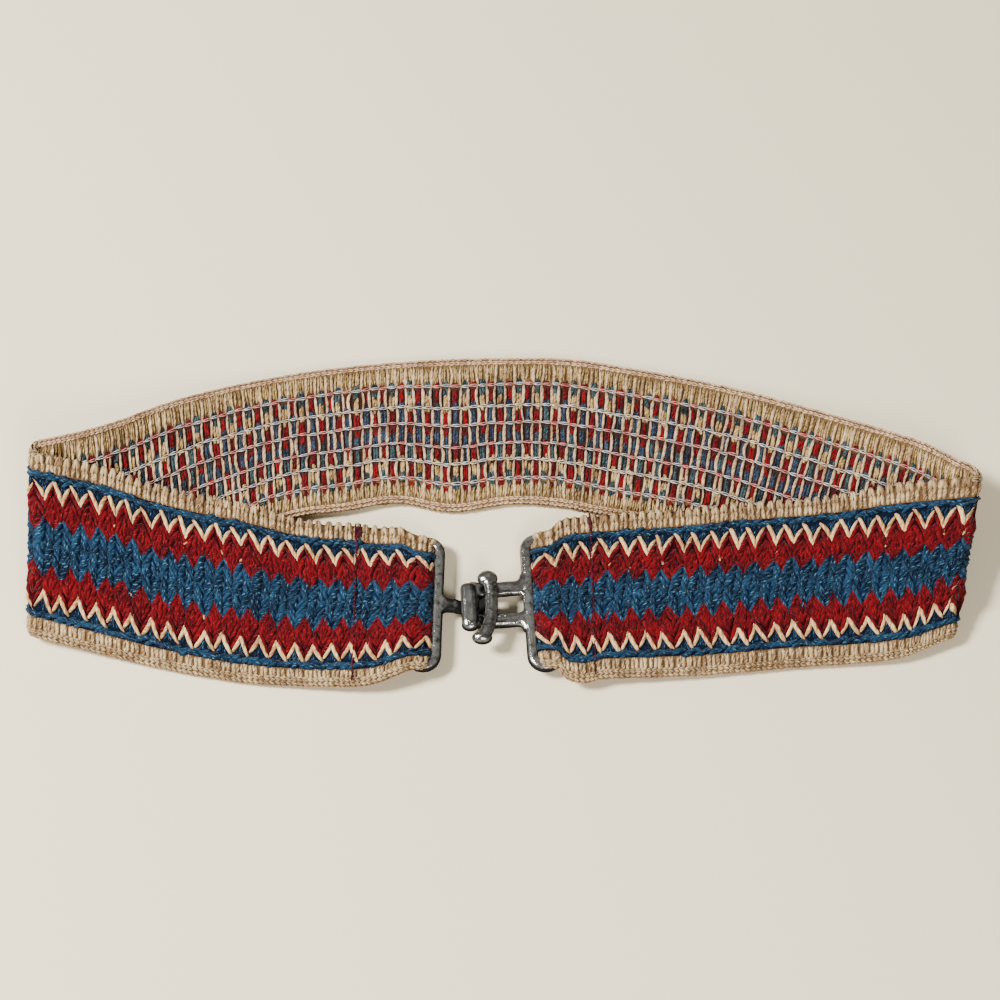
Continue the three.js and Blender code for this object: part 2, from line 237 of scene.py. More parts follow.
def add_node(tree, kind, **settings):
    """A node with its attributes and inputs set by name. An input goes in as in_NAME or in_NUMBER."""
    node = tree.nodes.new(kind)
    for key, value in settings.items():
        name = key.removeprefix("in_")
        if name == key:
            setattr(node, key, value)
        else:
            feed(tree, node.inputs[int(name) if name.isdigit() else name], value)
    return node


def math(tree, operation, a, b=0.0, clamp=False):
    """One Math node's result."""
    return add_node(tree, "ShaderNodeMath", operation=operation, use_clamp=clamp, in_0=a, in_1=b).outputs[0]


def ramp(tree, value, start, steepness):
    """How far a value is past start, times steepness, kept from 0 to 1."""
    return math(tree, "MULTIPLY", math(tree, "SUBTRACT", value, start), steepness, clamp=True)


def noise(tree, place, scale, detail, roughness=0.5):
    """A Noise node's value at a place."""
    settings = {"in_Scale": scale, "in_Detail": detail, "in_Roughness": roughness}
    return add_node(tree, "ShaderNodeTexNoise", in_Vector=place, **settings).outputs["Fac"]


def mix_colours(tree, share, a, b):
    """One Mix node's colour."""
    node = add_node(tree, "ShaderNodeMix", data_type="RGBA")
    for name, value in (("Factor_Float", share), ("A_Color", a), ("B_Color", b)):
        feed(tree, next(i for i in node.inputs if i.identifier == name), value)
    return next(o for o in node.outputs if o.identifier == "Result_Color")


def finish_surface(tree, shader, relief, **inputs):
    """Sets the shader's inputs by name. relief is the height, strength and depth of the fine relief."""
    height, strength, depth = relief
    bump = add_node(tree, "ShaderNodeBump", in_Height=height, in_Strength=strength, in_Distance=depth)
    for name, value in {**inputs, "Normal": bump.outputs[0]}.items():
        feed(tree, shader.inputs[name.replace("_", " ")], value)


def rgb(r, g, b):
    """A colour from its sRGB parts, 0 to 255."""
    parts = [p / 255 for p in (r, g, b)]
    return (*[p / 12.92 if p <= 0.04045 else ((p + 0.055) / 1.055) ** 2.4 for p in parts], 1.0)


# The knit's columns. The middle line of a leaf passes LEAF_X on the right front, and the columns over the
# back are pulled apart by BACK_SLACK in all, which brings the leaves of the left front to their places.
CELL = 3.175
LEAF_X = 66.6
BACK_SLACK = 3.1
LINE_WANDER = 0.30
first_line = (along_front(RIGHT_FRONT, LEAF_X) - BACK_SLACK) % (2 * CELL) + BACK_SLACK
CELLS = int((BAND_LENGTH - first_line) / CELL)
even_lines = first_line + CELL * np.arange(CELLS + 1)
pulled = np.interp(even_lines, BACK_HALF, [-BACK_SLACK, 0])
lines = even_lines + pulled + rng.normal(0, LINE_WANDER, CELLS + 1)

# How far off the band's centre the rows of the pattern lie, as shares of its width.
CREAM_TIP, CREAM_FOOT = 0.342, 0.222
RED_TIP, BLUE_PEAK = 0.066, 0.155
ZIGZAG, MIDDLE_EDGE = (CREAM_TIP + CREAM_FOOT) / 2, (BLUE_PEAK + RED_TIP) / 2
BORDER_FROM = 0.383
FAR_ROWS = [RED_TIP, BLUE_PEAK, CREAM_FOOT, CREAM_TIP, 0.5]
EVEN_ROWS = [-row for row in reversed(FAR_ROWS)] + FAR_ROWS
RIGHT_ROWS = [-0.50, -0.342, -0.218, -0.177, -0.064, 0.044, 0.125, 0.189, 0.325, 0.50]


def on_pattern(s, off_centre):
    """The share of the width where a row of the outer face's pattern runs. The rows drift along the band, and
    on the right front they are drawn together at the far side."""
    left, right = np.mean(LEFT_FRONT), RIGHT_FRONT[0]
    centre = np.interp(s, [left, left + 90, right, right + 60], [0.482, 0.5, 0.486, 0.5])
    drawn = np.interp(off_centre, EVEN_ROWS, RIGHT_ROWS)
    return centre + off_centre + (drawn - off_centre) * np.interp(s, [right - 20, right + 10], [0, 1])


def slant(s, off_centre):
    """How far the wool is pulled along the band, in millimetres: both edges of the blue middle have wandered
    from the zigzags beside the borders, by up to half a period."""
    hook, eye = LEFT_FRONT[0], RIGHT_FRONT[1]
    stations = [hook + 50, hook + 91, hook + 127, eye - 127, eye - 110, eye - 52]
    upper = np.interp(s, stations, [-2.4, 0, -0.8, 0.8, 0.8, 1.3])
    lower = np.interp(s, stations, [0, 0, 0, 3.2, 3.2, 3.2])
    share = np.interp(off_centre, [-MIDDLE_EDGE, MIDDLE_EDGE], [0, 1])
    return (lower + (upper - lower) * share) * np.interp(np.abs(off_centre), [MIDDLE_EDGE, ZIGZAG], [1, 0])


def outer_shades(tree, on, off_centre):
    """The colours of the ground's outer face repeat the colour work in deeper shades. Being darker, they are
    painted shade for the gaps between the stitches above it.
    """
    zigzag = math(tree, "PINGPONG", math(tree, "DIVIDE", on, CELL), 1.0)
    zigzag = math(tree, "SUBTRACT", math(tree, "MULTIPLY", zigzag, 2.0), 1.0)
    cream_at = math(tree, "ADD", off_centre, math(tree, "MULTIPLY", zigzag, (CREAM_TIP - CREAM_FOOT) / 2))
    red_at = math(tree, "SUBTRACT", off_centre, math(tree, "MULTIPLY", zigzag, (BLUE_PEAK - RED_TIP) / 2))
    # Darker tones of the blue middle, the red leaves, the blue row and the beige border: painted shade.
    colour = rgb(14, 42, 72)
    for at, start, beyond in (
        (red_at, MIDDLE_EDGE, rgb(62, 2, 8)),
        (cream_at, ZIGZAG, rgb(10, 24, 44)),
        (off_centre, BORDER_FROM, rgb(122, 90, 54)),
    ):
        colour = mix_colours(tree, math(tree, "GREATER_THAN", at, start), colour, beyond)
    return colour


def inner_shades(tree, _, off_centre):
    """The ground's inner face is tan beside the borders and dark between them. Both are darker than the
    floats
    and cords above it: painted shade for the gaps between them.
    """
    is_beside = ramp(tree, off_centre, 0.29, 24.0)
    return mix_colours(tree, is_beside, rgb(62, 40, 32), rgb(128, 98, 58))


def ground_material(name, shades):
    """Dense matt wool. shades gives its colour from a place along the band and off its centre."""
    material, tree, shader = new_material(name)
    uv = add_node(tree, "ShaderNodeUVMap", uv_map="strip").outputs[0]
    place = add_node(tree, "ShaderNodeSeparateXYZ", in_0=uv)
    off_centre = math(tree, "ABSOLUTE", math(tree, "SUBTRACT", place.outputs[1], 0.5))
    base = shades(tree, place.outputs[0], off_centre)
    spread = add_node(tree, "ShaderNodeVectorMath", operation="MULTIPLY", in_0=uv, in_1=(1, BAND_WIDTH, 1))
    fibre = noise(tree, spread.outputs[0], 2.4, 4.0)
    # Painted shade: fibre noise darkens the ground towards near black, as in the deep gaps between stitches.
    base = mix_colours(tree, math(tree, "MULTIPLY", fibre, 0.8, clamp=True), base, rgb(8, 4, 8))
    relief = (fibre, 0.6, 0.0004)
    finish_surface(tree, shader, relief, Base_Color=base, Roughness=1.0, Specular_IOR_Level=0.05)
    return material


def band_ground():
    """A flat grid of the strip, laid on the band's middle surface and given its thickness."""
    steps_along, steps_across = 300, 16
    inset = 0.022
    rounds = 6
    bm = bmesh.new()
    uv_layer = bm.loops.layers.uv.new("strip")
    bmesh.ops.create_grid(bm, x_segments=steps_along, y_segments=steps_across, size=0.5)
    bmesh.ops.reverse_faces(bm, faces=bm.faces)
    flat = np.array([v.co[:] for v in bm.verts])
    s = (flat[:, 0] + 0.5) * BAND_LENGTH
    across = inset + (0.5 + 0.5 * np.sin(flat[:, 1] * np.pi)) * (1 - 2 * inset)
    off_centre = across - 0.5
    for _ in range(rounds):
        off_centre = off_centre - (on_pattern(s, off_centre) - across)
    column = np.interp(s - slant(s, off_centre), lines, np.arange(CELLS + 1)) * CELL
    bm.verts.index_update()
    for face in bm.faces:
        for loop in face.loops:
            i = loop.vert.index
            loop[uv_layer].uv = (column[i], off_centre[i] + 0.5)
    for vert, place in zip(bm.verts, on_band(s, across, np.zeros(len(s)))):
        vert.co = place
    ground = object_of("band_ground", bm)
    ground.data.materials.append(ground_material("wool_ground_outer_painted_shade", outer_shades))
    ground.data.materials.append(ground_material("wool_ground_inner_painted_shade", inner_shades))
    thick = ground.modifiers.new("thickness", "SOLIDIFY")
    thick.thickness = GROUND_THICKNESS * MM
    thick.offset = 0
    thick.material_offset = 1
    thick.material_offset_rim = 1
    for polygon in ground.data.polygons:
        polygon.use_smooth = True
    return ground


ground = band_ground()
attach(ground, "root")
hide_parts("knit_band")

# The outer face is wool yarn in long leaning stitches: a cream zigzag along each side, a row of dark red
# pointed leaves beside each zigzag, a blue middle, and a twisted blue row between each zigzag and the border.
# Each stitch is a short strand of yarn, tucked in at its ends, and fine hairs stand off the wool.
Strand = namedtuple("Strand", "start end bow size shade")
TURNS_PER_MM = 0.16
MAP_SHIFT = 37
# END_NARROWING thins a strand's ends. END_SHADE, SIDE_LIGHT and TOP_LIGHT paint light and shade into the
# wool's colour: the tucked-in ends darker, and the side facing out from the band lighter than the side
# towards it.
END_NARROWING, END_SHADE = 0.5, 0.4
SIDE_LIGHT, TOP_LIGHT = 0.7, 0.45


def strand_shape(sides, cuts, tip=1.0):
    """A straight round strand, of length and radius one and cut across for bending: its points, the corners
    of its faces, how many each has, and its map."""
    bm = bmesh.new()
    bmesh.ops.create_cone(bm, cap_ends=True, cap_tris=False, segments=sides, radius1=1, radius2=tip, depth=1)
    bmesh.ops.translate(bm, verts=bm.verts, vec=(0, 0, 0.5))
    for cut in range(1, cuts + 1):
        everything = bm.verts[:] + bm.edges[:] + bm.faces[:]
        bmesh.ops.bisect_plane(bm, geom=everything, plane_co=(0, 0, cut / (cuts + 1)), plane_no=(0, 0, 1))
    bmesh.ops.recalc_face_normals(bm, faces=bm.faces)
    bm.verts.index_update()
    corners, sizes, map_rows = [], [], []
    for face in bm.faces:
        turns = [np.arctan2(v.co.y, v.co.x) / (2 * np.pi) % 1 for v in face.verts]
        if max(turns) - min(turns) > 0.5 and len(turns) == 4:
            turns = [t + 1 if t < 0.5 else t for t in turns]
        corners += [v.index for v in face.verts]
        sizes.append(len(face.verts))
        map_rows += [(v.co.z, t) for v, t in zip(face.verts, turns)]
    points = [v.co[:] for v in bm.verts]
    bm.free()
    return [np.array(part) for part in (points, corners, sizes, map_rows)]


STITCH = strand_shape(6, 5)
FINE = strand_shape(5, 3)
LINK = strand_shape(4, 2)
PLAIN = strand_shape(4, 1)
HAIR = strand_shape(3, 1, 0.25)


def bend(shape, strands, lobes):
    """Copies of a shape, each bent along its own strand's path on the band: their places, corners and corner
    counts, their map, and each point's shade and its painted light: how open to the light it lies."""
    start, end, bow, size, shade = (np.array(part) for part in zip(*strands))
    scale = np.array([1, BAND_WIDTH, 1])
    start, end, bow = start * scale, end * scale, bow * scale
    points, corners, sizes, own_map = shape
    count, each, t = len(strands), len(points), points[:, 2]
    reach = end - start
    length = np.linalg.norm(reach, axis=1)
    side_arch, lift_arch = 4 * t * (1 - t), 1 - (2 * t - 1) ** 4
    arches = np.stack([side_arch, side_arch, lift_arch], -1)
    path = start[:, None] + reach[:, None] * t[:, None] + bow[:, None] * arches
    heading = reach[:, None] + bow[:, None] * (4 * (1 - 2 * t))[:, None]
    sideways = unit(np.stack([heading[..., 1], -heading[..., 0], np.zeros((count, each))], -1))
    on = t * length[:, None] + shade[:, None] * MAP_SHIFT
    around = np.arctan2(points[:, 1], points[:, 0])
    swell = 1 + lobes * np.cos(2 * (around - 2 * np.pi * TURNS_PER_MM * on))
    swell = swell * (1 - END_NARROWING * np.abs(2 * t - 1) ** 4)
    swell = swell * (1 + rng.normal(0, 0.35 * lobes, (count, each)))
    place = path + sideways * (points[:, 0] * swell * size[:, :1] / 2)[..., None]
    place[..., 2] += points[:, 1] * swell * size[:, 1:] / 2
    flat = place.reshape(-1, 3)
    world = on_band(flat[:, 0], flat[:, 1] / BAND_WIDTH, flat[:, 2])
    corners = (corners + (np.arange(count) * each)[:, None]).ravel()
    on_map = (own_map[:, 0] * length[:, None] + shade[:, None] * MAP_SHIFT).ravel()
    strand_map = np.stack([on_map, np.tile(own_map[:, 1], count)], -1)
    # Painted light and shade: the side facing out from the band lighter, the tucked-in ends darker.
    outward = np.sign(start[:, 2])[:, None] * points[:, 1]
    tucked = END_SHADE * np.abs(2 * t - 1) ** 4
    open_to_light = np.clip(SIDE_LIGHT + TOP_LIGHT * outward - tucked, 0, 1).ravel()
    return world, corners, np.tile(sizes, count), strand_map, np.repeat(shade, each), open_to_light


def lay_strands(name, material, *batches, lobes=0.0):
    """One piece of many strands. A batch is a shape and the strands that take it. A strand's start, end and
    bow are each (millimetres along the band, share of its width, height), and its size is (width, height)."""
    parts = [bend(shape, strands, lobes) for shape, strands in batches if strands]
    world, corners, sizes, strand_map, shade, painted_light = (np.concatenate(values) for values in zip(*parts))
    firsts = np.cumsum([0] + [len(part[0]) for part in parts[:-1]])
    corners += np.repeat(firsts, [len(part[1]) for part in parts])
    mesh = bpy.data.meshes.new(name)
    mesh.vertices.add(len(world))
    mesh.vertices.foreach_set("co", world.astype(np.float32).ravel())
    mesh.loops.add(len(corners))
    mesh.loops.foreach_set("vertex_index", corners.astype(np.int32))
    mesh.polygons.add(len(sizes))
    mesh.polygons.foreach_set("loop_start", (np.cumsum(sizes) - sizes).astype(np.int32))
    mesh.update(calc_edges=True)
    mesh.uv_layers.new(name="strand").data.foreach_set("uv", strand_map.astype(np.float32).ravel())
    # The "open" attribute carries the painted light and shade that the wool's colour takes.
    for label, values in (("shade", shade), ("open", painted_light)):
        mesh.attributes.new(label, "FLOAT", "POINT").data.foreach_set("value", values.astype(np.float32))
    mesh.polygons.foreach_set("use_smooth", np.ones(len(sizes), bool))
    mesh.materials.append(material)
    piece = new_object(name, mesh)
    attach(piece, "root")


def inside(s, zones):
    """Whether a place along the band lies in one of the given stretches of it."""
    return any(low <= s <= high for low, high in zones)


def in_zones(strands, zones):
    """The strands that start inside the given stretches of the band, and the others."""
    split = [], []
    for strand in strands:
        split[0 if inside(strand.start[0], zones) else 1].append(strand)
    return split


# A strand of at least HAIR_SHADE takes the hairs' own colour.
HAIR_WIDTH, HAIR_SHADE = 0.13, 0.9


def hairs_of(strands, count, reach=1.6, side=1):
    """Fine hairs that stand off some of the strands."""
    hairs = []
    for i in rng.choice(len(strands), count):
        start, end, bow = np.array(strands[i][:3])
        t = rng.uniform(0.1, 0.9)
        foot = start + (end - start) * t + bow * 4 * t * (1 - t)
        foot[2] += side * strands[i].size[1] * 0.4
        angle = np.arctan2((end[1] - start[1]) * BAND_WIDTH, end[0] - start[0]) + rng.normal(0, 0.8)
        length = reach * rng.uniform(0.5, 1.4)
        lift = side * rng.uniform(0, 0.5)
        tip = foot + np.array([np.cos(angle) * length, np.sin(angle) * length / BAND_WIDTH, lift])
        sway = (rng.normal(0, 0.2), rng.normal(0, 0.2) / BAND_WIDTH, side * 0.2)
        shade = HAIR_SHADE + 0.3 * rng.random()
        hairs.append(Strand(tuple(foot), tuple(tip), sway, (HAIR_WIDTH, HAIR_WIDTH), shade))
    return hairs


def lay_knit(name, wool, shape, strands, zones, count=0, reach=1.6, side=1, lobes=0.0):
    """One piece of knitting: full strands with hairs where it is seen, and plain strands elsewhere."""
    seen, unseen = in_zones(strands, zones)
    hairs = hairs_of(seen, count, reach, side)
    lay_strands(name, wool, (shape, seen), (PLAIN, unseen), (HAIR, hairs), lobes=lobes)


# How much the crowns of the plies, a strand's shade, its fibres and its dye lighten the wool. The plies'
# crowns are painted light, with painted shade in the grooves between them.
PLY_LIGHT, SHADE_LIGHT, FIBRE_LIGHT, DYE_LIGHT = 0.22, 0.50, 3.2, 2.0


def yarn_group():
    """Spun wool: two plies that wind round each other, with fine fibres along them and dye that varies. Its
    colour holds painted shade in the grooves between the plies and where a strand is turned from the light,
    and painted highlights on the fibres.
    """
    group = bpy.data.node_groups.new("spun_wool", "ShaderNodeTree")
    for label in ("Light", "Body", "Deep"):
        group.interface.new_socket(label, in_out="INPUT", socket_type="NodeSocketColor")
    group.interface.new_socket("Colour", in_out="OUTPUT", socket_type="NodeSocketColor")
    group.interface.new_socket("Height", in_out="OUTPUT", socket_type="NodeSocketFloat")
    given = group.nodes.new("NodeGroupInput")
    uv = add_node(group, "ShaderNodeUVMap", uv_map="strand").outputs[0]
    place = add_node(group, "ShaderNodeSeparateXYZ", in_0=uv)
    on, around = place.outputs[0], place.outputs[1]
    shade = add_node(group, "ShaderNodeAttribute", attribute_name="shade").outputs["Fac"]
    open_to_light = add_node(group, "ShaderNodeAttribute", attribute_name="open").outputs["Fac"]
    wound = math(group, "SUBTRACT", around, math(group, "MULTIPLY", on, TURNS_PER_MM))
    circle = math(group, "MULTIPLY", wound, 2 * np.pi)
    # Painted light on the crowns of the plies and painted shade in the grooves between them.
    ply = math(group, "COSINE", math(group, "MULTIPLY", circle, 2.0))
    ply = math(group, "ADD", math(group, "MULTIPLY", ply, 0.5), 0.5)
    fibre_at = add_node(
        group, "ShaderNodeCombineXYZ",
        in_0=math(group, "MULTIPLY", on, 0.42),
        in_1=math(group, "MULTIPLY", math(group, "SINE", circle), 0.8),
        in_2=math(group, "MULTIPLY", math(group, "COSINE", circle), 0.8),
    ).outputs[0]
    fibre = noise(group, fibre_at, 1.6, 3.0, 0.65)
    dye = noise(group, add_node(group, "ShaderNodeTexCoord").outputs["Object"], 160.0, 3.0)
    own_light = math(group, "MULTIPLY", shade, SHADE_LIGHT)
    lit = math(group, "ADD", math(group, "MULTIPLY", ply, PLY_LIGHT), own_light)
    for part, light in ((fibre, FIBRE_LIGHT), (dye, DYE_LIGHT)):
        lit = math(group, "ADD", lit, math(group, "MULTIPLY", math(group, "SUBTRACT", part, 0.5), light))
    lit = math(group, "ADD", lit, 0.2, clamp=True)
    # Painted shade: the wool darkens where a strand's "open" attribute is low.
    lit = math(group, "MULTIPLY", lit, open_to_light)
    # Painted highlights on the fibres, together with the hairs' own lighter colour.
    painted_highlight_and_hairs = math(group, "MAXIMUM", ramp(group, fibre, 0.57, 5.0), ramp(group, shade, HAIR_SHADE, 4.0))
    painted_highlight_and_hairs = math(group, "MULTIPLY", painted_highlight_and_hairs, open_to_light)
    colour = mix_colours(group, lit, given.outputs["Deep"], given.outputs["Body"])
    colour = mix_colours(group, painted_highlight_and_hairs, colour, given.outputs["Light"])
    height = math(group, "ADD", math(group, "MULTIPLY", ply, 0.5), math(group, "MULTIPLY", fibre, 0.5))
    out = group.nodes.new("NodeGroupOutput")
    group.links.new(colour, out.inputs["Colour"])
    group.links.new(height, out.inputs["Height"])
    return group


SPUN_WOOL = yarn_group()


def yarn(name, light, body, deep):
    """A yarn's material, of its hairs' colour, which is also its painted fibre highlights, its own colour,
    and its painted shade in the folds between its plies and on tucked or turned-away parts.
    """
    material, tree, shader = new_material(name)
    wool = add_node(
        tree, "ShaderNodeGroup", node_tree=SPUN_WOOL,
        in_Light=rgb(*light), in_Body=rgb(*body), in_Deep=rgb(*deep),
    )
    finish_surface(
        tree, shader, (wool.outputs["Height"], 1.0, 0.0005), Base_Color=wool.outputs["Colour"],
        Roughness=0.9, Specular_IOR_Level=0.1, Sheen_Weight=0.07, Sheen_Roughness=0.45,
    )
    return material


# Each yarn: its hairs' colour and painted highlights, its own colour, and its painted shade.
cream_yarn = yarn("cream_yarn", (248, 226, 178), (232, 194, 138), (168, 116, 70))
red_yarn = yarn("red_yarn", (158, 32, 38), (108, 4, 12), (52, 1, 6))
blue_yarn = yarn("blue_yarn", (96, 142, 160), (26, 58, 84), (4, 16, 34))
beige_yarn = yarn("beige_yarn", (244, 224, 182), (208, 178, 132), (112, 82, 52))

FRONTS = [LEFT_FRONT, RIGHT_FRONT]
ROW_WANDER = 0.006
wander = {side: rng.normal(0, ROW_WANDER, CELLS + 1) for side in (1, -1)}

# How far the plies of the stitches stand out, and how light most strands can be.
PLY_SWELL = 0.06
SHADE_TOP = 0.85

# Each stitch of a half period, from the middle line of a leaf at 0 to the next foot at 1: where it starts and
# ends, as a share of that way and as a share of the band's width off its centre, its bow, its width and how
# high its middle stands.
RISING_CREAM = [(0.08, 0.330, 1.00, 0.212, 0.24, 1.45, 1.30)]
FALLING_CREAM = [(-0.10, 0.352, 0.95, 0.226, 0.20, 1.58, 1.52)]
RED_STITCHES = [
    (0.02, 0.304, 1.02, 0.184, 0.14, 1.70, 1.30),
    (-0.04, 0.262, 0.92, 0.150, 0.10, 1.75, 1.20),
    (0.00, 0.214, 0.62, 0.138, 0.04, 1.60, 1.15),
    (1.00, 0.172, 0.02, 0.080, -0.06, 1.65, 1.28),
    (0.62, 0.160, -0.06, 0.106, -0.04, 1.55, 1.32),
    (0.12, 0.250, 0.06, 0.124, 0.00, 1.45, 1.42),
]
BLUE_STITCHES = [
    (0.58, 0.116, 0.00, 0.050, 0.00, 1.40, 1.12),
    (1.00, 0.162, 0.10, 0.058, -0.06, 1.65, 1.30),
    (1.02, 0.118, 0.00, 0.022, 0.00, 1.65, 1.18),
    (0.98, 0.074, -0.04, -0.018, 0.00, 1.55, 1.32),
    (0.98, 0.032, 0.25, -0.034, 0.00, 1.50, 1.15),
]
ROW_DROPS = [(0.88, 0.346, 0.95, 0.268, 0.00, 0.95, 0.86), (0.58, 0.346, 0.68, 0.316, 0.00, 0.90, 0.82)]
# How much darker the drops are painted: painted shade, for they lie deep between the cream arms.
DROP_PAINTED_SHADE = 0.6
TUCK_HEIGHT = 0.72
FLATNESS = 0.9


def face_stitches(rising, falling, unevenness=1.0, painted_shade=0.0):
    """The strands for stitches that repeat in every half period, on both sides of the centre: those that rise
    to the right as the front is seen, and those that fall. The last argument darkens the ones that lie deep:
    painted shade."""
    strands = []
    along, across, in_width, in_height = unevenness * np.array([0.05, 0.004, 0.08, 0.05])
    for cell in range(CELLS):
        is_right = cell % 2 == 1
        axis_line, foot_line = (cell + 1, cell) if is_right else (cell, cell + 1)
        axis, foot = lines[axis_line], lines[foot_line]
        for side in (1, -1):
            for q0, d0, q1, d1, bow, wide, high in falling if is_right == (side > 0) else rising:
                q = np.array([q0, q1])
                off = (1 - q) * wander[side][axis_line] + q * wander[side][foot_line]
                q = q + rng.normal(0, along, 2)
                d = np.array([d0, d1]) + off + rng.normal(0, across, 2)
                wide = wide * (1 + rng.normal(0, in_width))
                s = axis + q * (foot - axis)
                s = s + slant(s, side * d)
                u = on_pattern(s, side * d)
                lift = high - TUCK_HEIGHT + rng.normal(0, in_height)
                strands.append(Strand(
                    (s[0], u[0], TUCK_HEIGHT), (s[1], u[1], TUCK_HEIGHT), (bow * (foot - axis), 0, lift),
                    (wide, wide * FLATNESS), SHADE_TOP * rng.random() - painted_shade,
                ))
    return strands


cream = face_stitches(RISING_CREAM, FALLING_CREAM, 0.8)

# Here and there a fleck of cream shows between two leaves.
FLECK_SHARE = 0.22
for cell in np.flatnonzero(rng.random(CELLS) < FLECK_SHARE):
    foot = lines[cell + (cell + 1) % 2]
    at = on_pattern(foot, rng.choice([1, -1]) * rng.uniform(0.15, 0.19))
    lean = rng.normal(0, 0.5)
    cream.append(Strand(
        (foot - lean, at, 0.9), (foot + lean, at + 0.03, 0.9), (0, 0, 0.5), (0.8, 0.7), 0.3 * rng.random(),
    ))
lay_knit("cream_zigzag", cream_yarn, STITCH, cream, FRONTS, 500, lobes=PLY_SWELL)
red = face_stitches(RED_STITCHES, RED_STITCHES, 1.2)
lay_knit("red_leaves", red_yarn, STITCH, red, FRONTS, 2600, lobes=PLY_SWELL)
blue = face_stitches(BLUE_STITCHES, BLUE_STITCHES, 1.35)
lay_knit("blue_middle", blue_yarn, STITCH, blue, FRONTS, 2600, lobes=PLY_SWELL)

drops, unseen_drops = in_zones(face_stitches(ROW_DROPS, ROW_DROPS, 1.5, DROP_PAINTED_SHADE), FRONTS)
ROW_PITCH, ROW_AT, ROW_LEAN, ROW_REACH = 1.6, 0.363, 0.012, 2.1
ROW_WIDTH, ROW_HEIGHT = 1.6, 1.4
row_strands = []
for k in range(1, int(BAND_LENGTH / ROW_PITCH) - 1):
    for side in (1, -1):
        s = k * ROW_PITCH + rng.normal(0, 0.2)
        off_centre = ROW_AT + rng.normal(0, 0.004)
        lean = ROW_LEAN + rng.normal(0, 0.007)
        reach = ROW_REACH * (1 + rng.normal(0, 0.12))
        row = on_pattern(s, side * off_centre)
        row_strands.append(Strand(
            (s - reach, row + lean, 0.8), (s + reach, row - lean, 0.8), (0, rng.normal(0, 0.005), 0.6),
            (ROW_WIDTH * (1 + rng.normal(0, 0.12)), ROW_HEIGHT), 0.9 * rng.random(),
        ))
seen, unseen = in_zones(row_strands, FRONTS)
hairs = hairs_of(seen, 1100)
lay_strands(
    "blue_rows", blue_yarn, (STITCH, seen), (FINE, drops), (PLAIN, unseen + unseen_drops), (HAIR, hairs),
    lobes=PLY_SWELL,
)

# The border beside each edge is a rib of fine beige yarn. The far border of both front halves curls under,
# and there a rounded loop lies over each pair of strands. Elsewhere two rows of chain stitches bind the edge,
# and two more rows bind the inner face.
RIB_FROM = 0.382
NEAR_RIM, FAR_RIM = 0.038, 0.962
CURL_RIB_TO = 0.932
KNOT_FROM, KNOT_AT, KNOT_TO = 0.920, 0.922, 0.985
KNOT_REACH, KNOT_SIZE = 0.66, (1.55, 1.6)
ribs = []
knots = []


def rib(low, high, lift, size):
    """One rib strand between two places across the band, each (s, across)."""
    ribs.append(Strand(
        (low[0], low[1], 0.6), (high[0], high[1], 0.55), (rng.normal(0, 0.06), 0, lift),
        (size, size), 1.1 * rng.random() - 0.25,
    ))


for cell in range(CELLS):
    middle, room = (lines[cell] + lines[cell + 1]) / 2, (lines[cell + 1] - lines[cell]) / 2
    is_front = inside(middle, FRONTS)
    far_row, near_row = on_pattern(middle, RIB_FROM), on_pattern(middle, -RIB_FROM)
    for half in (-1, 1):
        s = middle + half * room * 0.50 + rng.normal(0, 0.10)
        if is_front:
            rib((s, far_row), (s - half * 0.25 + rng.normal(0, 0.15), CURL_RIB_TO), 0.40, 1.45)
            rib((middle + half * 0.75, KNOT_FROM), (middle + half * 0.75, KNOT_TO), 0.3, 1.3)
        else:
            rib((s, far_row), (s, FAR_RIM), 0.5, 1.3)
        rib((s, near_row), (s - half * 0.18 + rng.normal(0, 0.15), NEAR_RIM), 0.5, 1.4)
    rib((middle, near_row + 0.006), (middle + rng.normal(0, 0.2), 0.06), 0.3, 0.95)
    if is_front:
        across = KNOT_AT + rng.normal(0, 0.003)
        reach = KNOT_REACH + rng.normal(0, 0.06)
        knots.append(Strand(
            (middle - reach, across, 0.8), (middle + reach, across, 0.8), (rng.normal(0, 0.12), 0.040, 1.0),
            KNOT_SIZE, 0.8 * rng.random() + 0.1,
        ))
seen, unseen = in_zones(ribs, FRONTS)
hairs = hairs_of(seen, 500, 1.0)
lay_strands("border_ribs", beige_yarn, (STITCH, knots), (FINE, seen), (PLAIN, unseen), (HAIR, hairs))


def chain(at, height, pitch, wide, spread, zones):
    """A row of chain stitches at a share of the width, along parts of the band. Each link is two strands that
    spread apart and meet in the next link."""
    links = []
    for i in range(int(BAND_LENGTH / pitch) - 1):
        s = (i + 0.4) * pitch + rng.normal(0, 0.08)
        if not inside(s, zones):
            continue
        for half in (1, -1):
            opening = half * spread / BAND_WIDTH
            wave = rng.normal(0, 0.001)
            links.append(Strand(
                (s, at + opening + wave, height), (s + pitch * 1.15, at + wave, height * 1.12),
                (0, half * 0.2 / BAND_WIDTH, 0), (wide, wide), SHADE_TOP * rng.random(),
            ))
    return links


